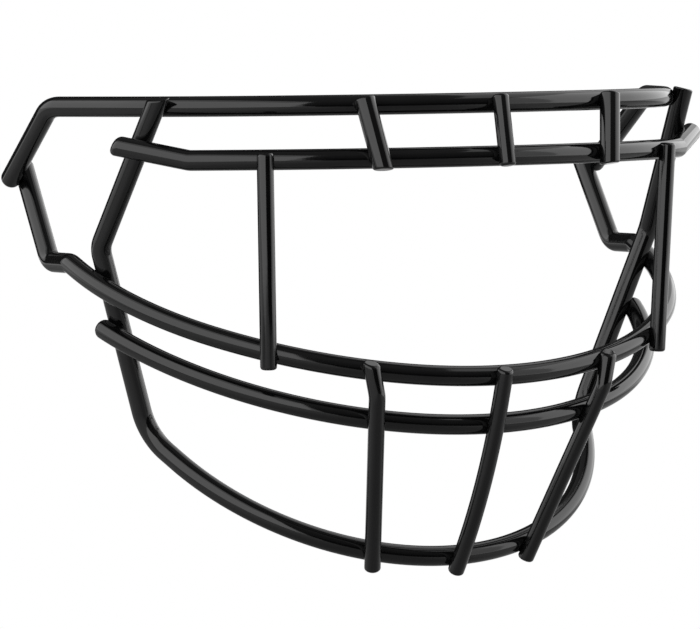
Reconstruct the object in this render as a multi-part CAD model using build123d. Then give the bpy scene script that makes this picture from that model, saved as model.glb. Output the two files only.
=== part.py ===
from build123d import *
import os
from math import asin, atan2, cos, hypot, radians, sin, tan

# Football helmet facemask: thirteen bent steel wires, resistance-welded where they cross.
# Millimetres. X runs across the face, -Y points out of the face and +Z is up.
# The origin is on the centreline of the top bar, in the middle of the face.
# Left and right are as seen from in front, so left is -X.

# A seat's share is its place on a bow, from 0 in the middle of the face to 1 at the bow's right end

# Wire stock, measured over the coating
thick_diameter = 6.6
thin_diameter = 5.4
thick_end_bevel = 0.7
thin_end_bevel = 1.0
round_end_radius = 2.2

# Where a wire is cut parallel with its bar: its spare length before the cut, and the size of the waste
cut_allowance = 4.0
cut_size = 16.0

# A weld sinks two crossing wires into each other by this share of the sum of their radii
set_down_share = 0.18

# Rounds in which a wire's direction and its seats settle on each other
settling_rounds = 4

# Top bar: a level bow across the brow, temple runs, and legs bent down and back
brow_radius = 139.0
brow_length = 58.3
temple_radius = 91.4
temple_length = 68.3
temple_run = 29.3
leg_bend_radius = 10.0
leg_inward = 1.2
leg_back = 32.1
leg_drop = 25.1

# Lower brow bar: a level bow under the top bar, with ends that flare out over the chin hoop
lower_brow_forward = 3.2
lower_brow_drop = 17.0
lower_brow_radius = 135.9
flare_run = 5.0
flare_corner_inside_hoop = 8.8
flare_bend_radius = 7.0
flare_seat_below_top = 12.4
flare_end_overhang = 7.6

# Upper mouth bar: a tilted bow, with cheek ends that step back and climb to the top bar's legs
mouth_bar_forward = 0.3
mouth_bar_drop = 87.5
mouth_bar_tilt = radians(23.3)
mouth_front_radius = 118.2
mouth_front_length = 95.3
mouth_cheek_radius = 84.6
mouth_cheek_length = 58.4
cheek_run = 4.1
cheek_step_radius = 6.0
cheek_step_back = 14.4
cheek_bend_radius = 6.5
cheek_seat_from_bend = 38.2
cheek_end_overhang = 4.6

# Chin hoop: its sides stand in front of the top bar and behind the other bars
chin_back = 28.5
chin_drop = 147.7
chin_radius = 86.5
chin_length = 36.3
jaw_run = 14.0
jaw_bend_radius = 16.0
jaw_inside_mouth_bar = 23.8
jaw_behind_mouth_bar = 9.0
jaw_below_mouth_bar = 51.3
hoop_mouth_share = 0.935
hoop_bend_above_seat = 9.8
hoop_bend_radius = 9.7
hoop_top_share = 0.875
hoop_top_overhang = 4.8

# Lower mouth bar: a bow that closes on the hoop's sides and ends just past them
lip_back = 5.1
lip_drop = 103.4
lip_radius = 110.2
lip_length = 41.7
lip_seat_below_mouth_bar = 17.4
lip_end_overhang = 3.4

# Brow struts, from the top bar to the lower brow bar
strut_top_share = 0.356
strut_foot_share = 0.436
strut_top_overhang = 1.5
strut_foot_overhang = 4.6
centre_strut_top_overhang = 1.8
centre_strut_foot_overhang = 4.1

# Eye verticals, from the lower brow bar to the upper mouth bar
eye_top_share = 0.798
eye_foot_share = 0.495
eye_top_overhang = 2.6
eye_foot_overhang = 5.1

# Mouth verticals, from the upper mouth bar over the lower one to the chin hoop
mouth_top_share = 0.281
mouth_middle_share = 0.282
mouth_foot_share = 0.287
mouth_kink_above_seat = 11.6
mouth_kink_radius = 7.0
mouth_top_overhang = 4.3
mouth_foot_overhang = 4.2
centre_mouth_top_overhang = 4.2
centre_mouth_foot_overhang = 3.6


class Bow:
    """A wire's middle stretch: arcs that run into each other, in a plane that slopes up to the back.

    apex is the point in the middle of the face. arcs gives (bend radius, length) from there
    outwards to the right, and the left half mirrors them.
    """

    def __init__(self, apex, slope, arcs):
        self.apex = apex
        self.inward = Vector(0, cos(slope), sin(slope))
        self.length = sum(length for _, length in arcs)
        self.arcs = []
        across, deep, heading = 0, 0, 0
        for radius, length in arcs:
            turned = heading + length / radius
            self.arcs.append((radius, across, deep, heading, turned))
            across += radius * (sin(turned) - sin(heading))
            deep += radius * (cos(heading) - cos(turned))
            heading = turned
        self.end = self.point(self.arcs[-1], heading)
        self.end_way = self.way(heading)

    def point(self, arc, heading):
        radius, across, deep, start, _ = arc
        right = across + radius * (sin(heading) - sin(start))
        return self.apex + Vector(right, 0, 0) + self.inward * (deep + radius * (cos(start) - cos(heading)))

    def way(self, heading):
        """Unit direction of the wire where it has turned by heading."""
        return Vector(cos(heading), 0, 0) + self.inward * sin(heading)

    def at(self, share):
        """Point and direction of the wire at a share of the way from the middle to the right end."""
        ahead = share * self.length
        for arc in self.arcs:
            radius, _, _, start, turned = arc
            heading = start + ahead / radius
            if heading < turned:
                break
            ahead -= radius * (turned - start)
        return self.point(arc, heading), self.way(heading)

    def edges(self):
        first = self.arcs[0]
        turned = first[-1]
        edges = [ThreePointArc(self.point(first, -turned), self.apex, self.point(first, turned))]
        for arc in self.arcs[1:]:
            _, _, _, start, turned = arc
            middle = (start + turned) / 2
            side = ThreePointArc(self.point(arc, start), self.point(arc, middle), self.point(arc, turned))
            edges += [side, mirror(side, Plane.YZ)]
        return edges


def slope_to(apex, point):
    """Slope of the plane through the X direction, the apex and a point."""
    gap = point - apex
    return atan2(gap.Z, gap.Y)


def arcs_ending_at(apex, point, radius, length, run):
    """The given front arc, and the side arc that leads into a straight run that ends at the point."""
    gap = point - apex
    turned = length / radius
    across = gap.X - radius * sin(turned)
    deep = hypot(gap.Y, gap.Z) - radius * (1 - cos(turned))
    ahead = across * cos(turned) + deep * sin(turned)
    aside = deep * cos(turned) - across * sin(turned)
    corner = (ahead**2 + aside**2 - run**2) / (2 * (ahead + run))
    turn = atan2(aside, ahead - corner)
    side_radius = corner / tan(turn / 2)
    return [(radius, length), (side_radius, side_radius * turn)]


def out_of_face(way, along, point):
    """Unit normal to a bar and to the wire along it, on the side away from the brow's centre."""
    normal = way.cross(along).normalized()
    from_centre = Vector(point.X, point.Y - brow_radius, 0)
    return normal if normal.dot(from_centre) > 0 else -normal


def sunk(one_diameter, other_diameter):
    """Distance between the centrelines of two welded wires."""
    return (one_diameter + other_diameter) / 2 * (1 - set_down_share)


def seats_between(spots, depths):
    """Seats of a straight wire on two bars, given each bar's (point, way) and the signed gap to it."""
    along = (spots[1][0] - spots[0][0]).normalized()
    for _ in range(settling_rounds):
        seats = [
            point + out_of_face(way, along, point) * depth for (point, way), depth in zip(spots, depths)
        ]
        along = (seats[1] - seats[0]).normalized()
    return seats[0], seats[1], along


def seat_from(start, spot, depth):
    """Seat on one bar of a straight wire that leaves a given point, and the wire's direction."""
    _, seat, along = seats_between([(start, spot[1]), spot], [0, depth])
    return seat, along


def straight_wire(spots, diameter, top_overhang, foot_overhang):
    """Centreline of a wire across the front of two thick bars."""
    gap = sunk(thick_diameter, diameter)
    top, foot, along = seats_between(spots, [gap, gap])
    return [Line(top - along * top_overhang, foot + along * foot_overhang)]


def both_sides(bow, tail):
    """Edges of a wire whose bow carries a tail on the right and its mirror image on the left."""
    return bow.edges() + tail.edges() + mirror(tail, Plane.YZ).edges()


def waste(end, out):
    """What is cut off a wire past its end, where out is the cut's outward normal."""
    past = (Align.CENTER, Align.CENTER, Align.MIN)
    return Plane(origin=end, z_dir=out) * Box(cut_size, cut_size, cut_size, align=past)


def cut_along(bar_way, end, way):
    """The waste past the end of a wire that is cut parallel with the bar it is welded to."""
    return waste(end, (way - bar_way * way.dot(bar_way)).normalized())


def rod(edges, diameter, cuts):
    """A wire's solid round its centreline, without the waste of its cuts."""
    line = Wire([edge for stretch in edges for edge in stretch.edges()])
    start = Plane(origin=line @ 0, z_dir=line % 0)
    return sweep(start * Circle(diameter / 2), path=line) - cuts


def end_rims(solid):
    return solid.faces().filter_by(GeomType.PLANE).edges()


def square_ended(edges, diameter, cuts=()):
    solid = rod(edges, diameter, cuts)
    bevel = thick_end_bevel if diameter == thick_diameter else thin_end_bevel
    return chamfer(end_rims(solid), bevel)


def round_ended(edges, diameter, cuts=()):
    solid = rod(edges, diameter, cuts)
    return fillet(end_rims(solid), round_end_radius)


def mirrored(shapes):
    return [mirror(shape, Plane.YZ) for shape in shapes]


def both_cuts(cut):
    return [cut] + mirrored([cut])


# Top bar
brow = Bow(Vector(0, 0, 0), 0, [(brow_radius, brow_length), (temple_radius, temple_length)])
leg_bend = brow.end + brow.end_way * temple_run
leg = Vector(-leg_inward, leg_back, -leg_drop)
leg_way = leg.normalized()
top_tail = FilletPolyline(brow.end, leg_bend, leg_bend + leg, radius=[leg_bend_radius])

# Upper mouth bar: its cheek ends stand behind the top bar's legs
thick_gap = sunk(thick_diameter, thick_diameter)
mouth = Bow(
    Vector(0, -mouth_bar_forward, -mouth_bar_drop),
    mouth_bar_tilt,
    [(mouth_front_radius, mouth_front_length), (mouth_cheek_radius, mouth_cheek_length)],
)
cheek_step = mouth.end + mouth.end_way * cheek_run
cheek_bend = cheek_step + Vector(0, cheek_step_back, 0)
leg_spot = leg_bend + leg_way * cheek_seat_from_bend
cheek_seat, cheek_way = seat_from(cheek_bend, (leg_spot, leg_way), -thick_gap)
cheek_tail = FilletPolyline(
    mouth.end,
    cheek_step,
    cheek_bend,
    cheek_seat + cheek_way * cheek_end_overhang,
    radius=[cheek_step_radius, cheek_bend_radius],
)

# Chin hoop: up from the jaw behind the upper mouth bar, then on to the front of the top bar
mouth_spot = mouth.at(hoop_mouth_share)
jaw_bend = mouth_spot[0] + Vector(-jaw_inside_mouth_bar, jaw_behind_mouth_bar, -jaw_below_mouth_bar)
hoop_mouth_seat, jaw_way = seat_from(jaw_bend, mouth_spot, -thick_gap)
hoop_bend = hoop_mouth_seat + jaw_way * hoop_bend_above_seat
hoop_spot = brow.at(hoop_top_share)
hoop_seat, hoop_way = seat_from(hoop_bend, hoop_spot, thick_gap)
hoop_end = hoop_seat + hoop_way * hoop_top_overhang
hoop_cut = cut_along(hoop_spot[1], hoop_end, hoop_way)
chin_apex = Vector(0, chin_back, -chin_drop)
chin = Bow(
    chin_apex,
    slope_to(chin_apex, jaw_bend),
    arcs_ending_at(chin_apex, jaw_bend, chin_radius, chin_length, jaw_run),
)
hoop_tail = FilletPolyline(
    chin.end,
    jaw_bend,
    hoop_bend,
    hoop_end + hoop_way * cut_allowance,
    radius=[jaw_bend_radius, hoop_bend_radius],
)

# Lower brow bar: its ends run out over the front of the chin hoop
flare_spot = hoop_seat - hoop_way * flare_seat_below_top
corner_across = flare_spot.X - flare_corner_inside_hoop
corner_turn = asin(corner_across / hypot(lower_brow_radius, flare_run))
lower_brow_turn = corner_turn - atan2(flare_run, lower_brow_radius)
lower_brow = Bow(
    Vector(0, -lower_brow_forward, -lower_brow_drop),
    0,
    [(lower_brow_radius, lower_brow_radius * lower_brow_turn)],
)
flare_corner = lower_brow.end + lower_brow.end_way * flare_run
flare_seat, flare_way = seat_from(flare_corner, (flare_spot, hoop_way), thick_gap)
flare_end = flare_seat + flare_way * flare_end_overhang
flare_cut = cut_along(hoop_way, flare_end, flare_way)
flare_tail = FilletPolyline(
    lower_brow.end,
    flare_corner,
    flare_end + flare_way * cut_allowance,
    radius=[flare_bend_radius],
)

# Lower mouth bar: its side arc is the one that reaches its seat on the hoop
lip_apex = Vector(0, lip_back, -lip_drop)
lip_spot = hoop_mouth_seat - jaw_way * lip_seat_below_mouth_bar
lip_way = mouth.end_way
for _ in range(settling_rounds):
    lip_seat = lip_spot + out_of_face(lip_way, jaw_way, lip_spot) * thick_gap
    lip_arcs = arcs_ending_at(lip_apex, lip_seat, lip_radius, lip_length, 0)
    lip = Bow(lip_apex, slope_to(lip_apex, lip_seat), lip_arcs)
    lip_way = lip.end_way
lip_side_radius, lip_side_length = lip_arcs[1]
lip = Bow(
    lip_apex,
    slope_to(lip_apex, lip_seat),
    [lip_arcs[0], (lip_side_radius, lip_side_length + lip_end_overhang)],
)

# Brow struts: the side ones lean, and their feet are cut parallel with the lower brow bar
strut_foot_spot = lower_brow.at(strut_foot_share)
strut = straight_wire(
    [brow.at(strut_top_share), strut_foot_spot],
    thick_diameter,
    strut_top_overhang,
    strut_foot_overhang + cut_allowance,
)
strut_way = strut[0] % 1
strut_cut = cut_along(strut_foot_spot[1], strut[0] @ 1 - strut_way * cut_allowance, strut_way)
centre_strut = straight_wire(
    [brow.at(0), lower_brow.at(0)],
    thin_diameter,
    centre_strut_top_overhang,
    centre_strut_foot_overhang,
)

# Eye verticals
eye_vertical = straight_wire(
    [lower_brow.at(eye_top_share), mouth.at(eye_foot_share)],
    thin_diameter,
    eye_top_overhang,
    eye_foot_overhang,
)


def mouth_seats(top_share, middle_share, foot_share):
    """Seats of a mouth vertical on the upper mouth bar, the lower mouth bar and the chin hoop."""
    gap = sunk(thick_diameter, thin_diameter)
    middle = lip.at(middle_share)
    top, _, _ = seats_between([mouth.at(top_share), middle], [gap, gap])
    middle, foot, _ = seats_between([middle, chin.at(foot_share)], [gap, gap])
    return top, middle, foot


# The tops of the mouth verticals are cut in the upper mouth bar's tilt
mouth_up = Vector(1, 0, 0).cross(mouth.inward)

# Side mouth verticals: straight from the hoop past the lower mouth bar, then bent to the upper one
top_seat, middle_seat, foot_seat = mouth_seats(mouth_top_share, mouth_middle_share, mouth_foot_share)
foot_way = (foot_seat - middle_seat).normalized()
kink = middle_seat - foot_way * mouth_kink_above_seat
top_way = (kink - top_seat).normalized()
mouth_top_end = top_seat - top_way * mouth_top_overhang
mouth_cut = waste(mouth_top_end, mouth_up)
mouth_vertical = FilletPolyline(
    mouth_top_end - top_way * cut_allowance,
    kink,
    foot_seat + foot_way * mouth_foot_overhang,
    radius=[mouth_kink_radius],
).edges()

# Centre mouth vertical: one gentle arc over its three seats, with straight ends
centre_arc = ThreePointArc(*mouth_seats(0, 0, 0))
centre_top_way = centre_arc % 0
centre_top_end = centre_arc @ 0 - centre_top_way * centre_mouth_top_overhang
centre_cut = waste(centre_top_end, mouth_up)
centre_mouth_vertical = [
    Line(centre_top_end - centre_top_way * cut_allowance, centre_arc @ 0),
    centre_arc,
    Line(centre_arc @ 1, centre_arc @ 1 + (centre_arc % 1) * centre_mouth_foot_overhang),
]

wires = {
    "top_bar": round_ended(both_sides(brow, top_tail), thick_diameter),
    "lower_brow_bar": round_ended(
        both_sides(lower_brow, flare_tail), thick_diameter, both_cuts(flare_cut)
    ),
    "upper_mouth_bar": square_ended(both_sides(mouth, cheek_tail), thick_diameter),
    "lower_mouth_bar": round_ended(lip.edges(), thick_diameter),
    "chin_hoop": square_ended(both_sides(chin, hoop_tail), thick_diameter, both_cuts(hoop_cut)),
    "brow_strut_left": square_ended(mirrored(strut), thick_diameter, mirrored([strut_cut])),
    "brow_strut_center": square_ended(centre_strut, thin_diameter),
    "brow_strut_right": square_ended(strut, thick_diameter, [strut_cut]),
    "eye_vertical_left": square_ended(mirrored(eye_vertical), thin_diameter),
    "eye_vertical_right": square_ended(eye_vertical, thin_diameter),
    "mouth_vertical_left": square_ended(
        mirrored(mouth_vertical), thin_diameter, mirrored([mouth_cut])
    ),
    "mouth_vertical_center": square_ended(centre_mouth_vertical, thin_diameter, [centre_cut]),
    "mouth_vertical_right": square_ended(mouth_vertical, thin_diameter, [mouth_cut]),
}

# Which wires are welded to which
welded = {
    "top_bar": [
        "chin_hoop",
        "upper_mouth_bar",
        "brow_strut_left",
        "brow_strut_center",
        "brow_strut_right",
    ],
    "lower_brow_bar": [
        "chin_hoop",
        "brow_strut_left",
        "brow_strut_center",
        "brow_strut_right",
        "eye_vertical_left",
        "eye_vertical_right",
    ],
    "upper_mouth_bar": [
        "chin_hoop",
        "eye_vertical_left",
        "eye_vertical_right",
        "mouth_vertical_left",
        "mouth_vertical_center",
        "mouth_vertical_right",
    ],
    "lower_mouth_bar": [
        "chin_hoop",
        "mouth_vertical_left",
        "mouth_vertical_center",
        "mouth_vertical_right",
    ],
    "chin_hoop": ["mouth_vertical_left", "mouth_vertical_center", "mouth_vertical_right"],
}
crossings = [(bar, wire) for bar, others in welded.items() for wire in others]

# Each weld is the metal that two wires share where they are sunk into each other
pieces = {}
for bar, wire in crossings:
    nuggets = (wires[bar] & wires[wire]).solids().sort_by(Axis.X)
    names = [f"weld_{bar}_to_{wire}"]
    if len(nuggets) > 1:
        names = [f"weld_{bar}_to_{wire}_{side}" for side in ("left", "right")]
    for name, nugget in zip(names, nuggets):
        pieces[name] = nugget

# Each wire keeps what lies outside the wires that it crosses
for name, solid in wires.items():
    partners = [one if other == name else other for one, other in crossings if name in (one, other)]
    pieces[name] = solid - [wires[partner] for partner in partners]

os.makedirs("parts", exist_ok=True)
for name, piece in pieces.items():
    export_step(piece, f"parts/{name}.step")
    print(name, len(piece.solids()), "solid,", round(piece.volume, 2), "mm3")
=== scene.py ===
"""Football helmet facemask: the looks of a welded wire cage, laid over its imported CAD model.

Metres. X runs across the face, -Y points out of the face and +Z is up. The origin is on the
centreline of the top bar, in the middle of the face. Left and right are as seen from in front.
"""

from bisect import bisect_left
from collections import namedtuple
from math import asin, atan2, ceil, cos, hypot, pi, radians, sin, tan

import bmesh
import bpy
from bpy.props import FloatProperty, FloatVectorProperty, IntProperty, PointerProperty
from mathutils import Matrix, Vector


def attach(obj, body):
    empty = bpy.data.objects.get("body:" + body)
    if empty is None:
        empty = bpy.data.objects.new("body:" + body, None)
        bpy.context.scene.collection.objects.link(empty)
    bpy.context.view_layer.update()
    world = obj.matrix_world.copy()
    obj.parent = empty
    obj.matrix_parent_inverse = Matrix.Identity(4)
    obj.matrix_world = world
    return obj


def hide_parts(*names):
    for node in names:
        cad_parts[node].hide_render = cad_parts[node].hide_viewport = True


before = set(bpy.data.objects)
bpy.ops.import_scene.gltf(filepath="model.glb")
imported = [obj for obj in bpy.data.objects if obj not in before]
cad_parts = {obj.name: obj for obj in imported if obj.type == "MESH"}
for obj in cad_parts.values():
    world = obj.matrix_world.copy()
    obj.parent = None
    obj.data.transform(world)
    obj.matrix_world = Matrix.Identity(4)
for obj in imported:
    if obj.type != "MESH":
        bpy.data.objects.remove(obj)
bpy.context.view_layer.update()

bl_info = {
    "name": "Football Helmet Facemask",
    "version": (1, 0, 0),
    "blender": (4, 5, 0),
    "location": "3D View > Sidebar > Facemask",
    "description": "Builds a welded wire facemask with a gloss black coating, and a studio round it",
    "category": "Add Mesh",
}

BODY = "root"
WELD_PREFIX = "weld_"

# Wire stock: diameters over the coating, how far the rim of a cut end is rounded, and sides of a section
THICK, THIN = 0.0066, 0.0054
THICK_EDGE, THIN_EDGE = 0.0007, 0.001
SIDES = 56

# Nodes whose wires have rounded ends, and how the names of the thin wires' nodes begin
ROUND_ENDED = "top_bar", "lower_brow_bar", "lower_mouth_bar"
THIN_WIRES = "eye_", "mouth_", "brow_strut_center"

# Steps along the wires: each arc of a bow and of a tight corner, and the rows that round a cut end
BOW_STEP = radians(0.8)
CORNER_STEP = radians(3)
END_ROWS = 8

# As shares of an end's edge: how far in a row still belongs to the rim, and where the other rows start
RIM_REACH = 1.01
ROWS_START = 1.3

# Rounds in which a wire's direction and its seats settle on each other
SETTLING_ROUNDS = 4


# ---------------------------------------------------------------- settings


def size(name, default, description):
    return FloatProperty(name=name, description=description, default=default, subtype="DISTANCE", precision=5)


def share(name, default, description):
    return FloatProperty(name=name, description=description, default=default, min=0, max=1, subtype="FACTOR")


def glow(name, default, description):
    return FloatProperty(name=name, description=description, default=default, min=0)


def colour(name, default, description):
    return FloatVectorProperty(
        name=name, description=description, default=default, size=3, min=0, max=1, subtype="COLOR"
    )


class WireStock(bpy.types.PropertyGroup):
    """Sizes that every wire shares."""

    thick: size("Thick wire", THICK, "Diameter of the bars and the side struts over the coating")
    thin: size("Thin wire", THIN, "Diameter of the uprights and the middle strut over the coating")
    thick_edge: size("Thick wire's edge", THICK_EDGE, "Rounding of the rim where a thick wire is cut")
    thin_edge: size("Thin wire's edge", THIN_EDGE, "Rounding of the rim where a thin wire is cut")
    round_edge: size("Round edge", 0.0022, "Rounding of a smoothly rounded end")
    set_down: share("Set down", 0.18, "How far a weld sinks two wires together, as a share of their radii")
    sides: IntProperty(name="Sides", description="Sides of a wire's section", default=SIDES, min=12, max=128)


class BrowSizes(bpy.types.PropertyGroup):
    """The two level bars across the brow and the struts between them."""

    radius: size("Brow radius", 0.139, "Bend radius of the top bar across the brow")
    length: size("Brow length", 0.0583, "Length of the top bar's brow arc to one side")
    temple_radius: size("Temple radius", 0.0914, "Bend radius of the top bar at the temples")
    temple_length: size("Temple length", 0.0683, "Length of the top bar's temple arc")
    temple_run: size("Temple run", 0.0293, "Straight run from the temple arc to the leg's bend")
    leg_bend: size("Leg bend", 0.01, "Bend radius between the temple run and the leg")
    leg: FloatVectorProperty(
        name="Leg",
        description="The right leg from its bend to its end",
        default=(-0.0012, 0.0321, -0.0251),
        size=3,
        subtype="XYZ",
        unit="LENGTH",
        precision=5,
    )
    lower_forward: size("Lower bar forward", 0.0032, "How far the lower bar stands in front of the top bar")
    lower_drop: size("Lower bar drop", 0.017, "How far the lower brow bar hangs below the top bar")
    lower_radius: size("Lower bar radius", 0.1359, "Bend radius of the lower brow bar")
    flare_run: size("Flare run", 0.005, "Straight run from the lower bar's bow to its flare's bend")
    flare_inside: size("Flare inside", 0.0088, "How far inside its seat on the chin hoop the flare bends")
    flare_bend: size("Flare bend", 0.007, "Bend radius of the flare")
    flare_seat: size("Flare seat", 0.0124, "Distance of its seat below the hoop's seat on the top bar")
    flare_overhang: size("Flare overhang", 0.0076, "How far the flare runs past its seat")
    strut_top: share("Strut top", 0.356, "Place of a side strut on the top bar")
    strut_foot: share("Strut foot", 0.436, "Place of a side strut on the lower brow bar")
    strut_top_overhang: size("Strut top overhang", 0.0015, "How far a side strut stands over the top bar")
    strut_foot_overhang: size("Strut foot overhang", 0.0046, "How far a side strut hangs below the lower bar")
    centre_top_overhang: size("Centre top overhang", 0.0018, "How far the middle strut stands over the bar")
    centre_foot_overhang: size("Centre foot overhang", 0.0041, "How far it hangs below the lower brow bar")


class MouthSizes(bpy.types.PropertyGroup):
    """The two mouth bars and the uprights that stand on them."""

    forward: size("Forward", 0.0003, "How far the upper mouth bar stands in front of the top bar")
    drop: size("Drop", 0.0875, "How far the upper mouth bar hangs below the top bar")
    tilt: FloatProperty(
        name="Tilt",
        description="Rise of the upper mouth bar towards the back",
        default=radians(23.3),
        subtype="ANGLE",
    )
    front_radius: size("Front radius", 0.1182, "Bend radius of the upper mouth bar in front")
    front_length: size("Front length", 0.0953, "Length of its front arc to one side")
    cheek_radius: size("Cheek radius", 0.0846, "Bend radius of the upper mouth bar at the cheeks")
    cheek_length: size("Cheek length", 0.0584, "Length of its cheek arc")
    cheek_run: size("Cheek run", 0.0041, "Straight run from the cheek arc to the step")
    step_bend: size("Step bend", 0.006, "Bend radius where the bar steps back")
    step_back: size("Step back", 0.0144, "Length of the step back")
    cheek_bend: size("Cheek bend", 0.0065, "Bend radius where the bar starts to climb")
    seat_on_leg: size("Seat on the leg", 0.0382, "Distance of its seat on the leg from the leg's bend")
    cheek_overhang: size("Cheek overhang", 0.0046, "How far the bar runs past that seat")
    lip_back: size("Lower bar back", 0.0051, "How far the lower mouth bar stands behind the top bar")
    lip_drop: size("Lower bar drop", 0.1034, "How far the lower mouth bar hangs below the top bar")
    lip_radius: size("Lower bar radius", 0.1102, "Bend radius of the lower mouth bar in front")
    lip_length: size("Lower bar length", 0.0417, "Length of its front arc to one side")
    lip_seat: size("Lower bar seat", 0.0174, "Distance of its seat on the hoop below the upper bar")
    lip_overhang: size("Lower bar overhang", 0.0034, "How far the lower mouth bar runs past that seat")
    eye_top: share("Eye upright top", 0.798, "Place of an eye upright on the lower brow bar")
    eye_foot: share("Eye upright foot", 0.495, "Place of an eye upright on the upper mouth bar")
    eye_top_overhang: size("Eye top overhang", 0.0026, "How far an eye upright stands over the brow bar")
    eye_foot_overhang: size("Eye foot overhang", 0.0051, "How far it hangs below the mouth bar")
    upright_top: share("Mouth upright top", 0.281, "Place of a side mouth upright on the upper mouth bar")
    upright_middle: share("Mouth upright middle", 0.282, "Its place on the lower mouth bar")
    upright_foot: share("Mouth upright foot", 0.287, "Its place on the chin hoop")
    kink_above: size("Kink height", 0.0116, "Distance of its kink above the lower mouth bar")
    kink_radius: size("Kink radius", 0.007, "Bend radius of the kink")
    upright_top_overhang: size("Upright top overhang", 0.0043, "How far a side upright stands over the bar")
    upright_foot_overhang: size("Upright foot overhang", 0.0042, "How far it hangs below the chin hoop")
    centre_top_overhang: size("Centre top overhang", 0.0042, "How far the middle upright stands over the bar")
    centre_foot_overhang: size("Centre foot overhang", 0.0036, "How far it hangs below the chin hoop")


class ChinSizes(bpy.types.PropertyGroup):
    """The hoop that runs from the top bar down both sides and round under the chin."""

    back: size("Back", 0.0285, "How far the hoop's front stands behind the top bar")
    drop: size("Drop", 0.1477, "How far the hoop's front hangs below the top bar")
    radius: size("Radius", 0.0865, "Bend radius of the hoop under the chin")
    length: size("Length", 0.0363, "Length of its chin arc to one side")
    jaw_run: size("Jaw run", 0.014, "Straight run that leads into the jaw's bend")
    jaw_bend: size("Jaw bend", 0.016, "Bend radius at the jaw")
    jaw_inside: size("Jaw inside", 0.0238, "How far the jaw's bend lies inside the seat on the mouth bar")
    jaw_behind: size("Jaw behind", 0.009, "How far the jaw's bend lies behind that seat")
    jaw_below: size("Jaw below", 0.0513, "How far the jaw's bend lies below that seat")
    mouth_share: share("Place on the mouth bar", 0.935, "Place of the hoop on the upper mouth bar")
    bend_above: size("Side bend height", 0.0098, "Distance of the side bend above the upper mouth bar")
    side_bend: size("Side bend", 0.0097, "Bend radius of the side bend")
    top_share: share("Place on the top bar", 0.875, "Place of the hoop on the top bar")
    top_overhang: size("Top overhang", 0.0048, "How far the hoop runs past the top bar")


class Finishes(bpy.types.PropertyGroup):
    """Colour and gloss of the coating and of the weld metal."""

    coating: colour("Coating", (0.0035, 0.0035, 0.0037), "Colour of the gloss black coating")
    coating_gloss: share("Coating roughness", 0.085, "Mean roughness of the coating")
    peel: size("Peel height", 0.000004, "Height of the coating's fine unevenness")
    weld: colour("Weld metal", (0.32, 0.32, 0.33), "Colour of the bare weld metal inside the joints")


class Studio(bpy.types.PropertyGroup):
    """Floor, backdrop and light round the facemask."""

    left_light: glow("Left softbox", 0.93, "Brightness of the left softbox over the white surround")
    right_light: glow("Right softbox", 1.0, "Brightness of the right softbox over the white surround")
    surround: share("Surround", 0.35, "Brightness of the plain light from all round, where white is 1")
    floor_drop: size("Floor drop", 0.45, "How far the floor lies below the top bar")
    floor_radius: size("Floor radius", 2.6, "Radius of the floor")
    # The floor's paint is darker along its middle strip and paler to both sides: painted shade where the
    # softboxes light it less, painted light where they light it more
    floor: colour("Floor", (0.39, 0.39, 0.39), "Colour of the floor's middle strip")
    floor_painted_lit_sides: colour("Floor sides", (0.71, 0.71, 0.71), "Colour of the floor on both sides")
    # Glow of the sheets that only mirrors see, where white is 1: painted reflections, which light nothing and
    # cast no shadow
    front_card: share("Front card", 0.07, "Brightness of the card in front, where white is 1")
    ceiling_card: share("Ceiling card", 0.17, "Brightness of the card overhead, where white is 1")
    back_card: share("Back card", 0.04, "Brightness of the card behind, where white is 1")


class Facemask(bpy.types.PropertyGroup):
    """All the facemask's settings."""

    stock: PointerProperty(type=WireStock)
    brow: PointerProperty(type=BrowSizes)
    mouth: PointerProperty(type=MouthSizes)
    chin: PointerProperty(type=ChinSizes)
    finishes: PointerProperty(type=Finishes)
    studio: PointerProperty(type=Studio)


# ---------------------------------------------------------------- centrelines


class Bow:
    """A wire's middle stretch: arcs that run into each other, in a plane that slopes up to the back.

    apex is the point in the middle of the face. arcs gives (bend radius, length) from there
    outwards to the right.
    """

    def __init__(self, apex, slope, arcs):
        self.apex = apex
        self.inward = Vector((0, cos(slope), sin(slope)))
        self.length = sum(length for _, length in arcs)
        self.arcs = []
        across, deep, heading = 0, 0, 0
        for radius, length in arcs:
            turned = heading + length / radius
            self.arcs.append((radius, across, deep, heading, turned))
            across += radius * (sin(turned) - sin(heading))
            deep += radius * (cos(heading) - cos(turned))
            heading = turned
        self.end = self.point(self.arcs[-1], heading)
        self.end_way = self.way(heading)

    def point(self, arc, heading):
        radius, across, deep, start, _ = arc
        right = across + radius * (sin(heading) - sin(start))
        return self.apex + Vector((right, 0, 0)) + self.inward * (deep + radius * (cos(start) - cos(heading)))

    def way(self, heading):
        """Unit direction of the wire where it has turned by heading."""
        return Vector((cos(heading), 0, 0)) + self.inward * sin(heading)

    def at(self, part):
        """Point and direction of the wire at a share of the way from the middle to the right end."""
        ahead = part * self.length
        for arc in self.arcs:
            radius, _, _, start, turned = arc
            heading = start + ahead / radius
            if heading < turned:
                break
            ahead -= radius * (turned - start)
        return self.point(arc, heading), self.way(heading)

    def points(self):
        """Points from the middle to the right end."""
        points = [self.apex.copy()]
        for arc in self.arcs:
            _, _, _, start, turned = arc
            steps = ceil((turned - start) / BOW_STEP)
            headings = [start + (turned - start) * step / steps for step in range(1, steps + 1)]
            points += [self.point(arc, heading) for heading in headings]
        return points


def slope_to(apex, point):
    """Slope of the plane through the X direction, the apex and a point."""
    gap = point - apex
    return atan2(gap.z, gap.y)


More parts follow.
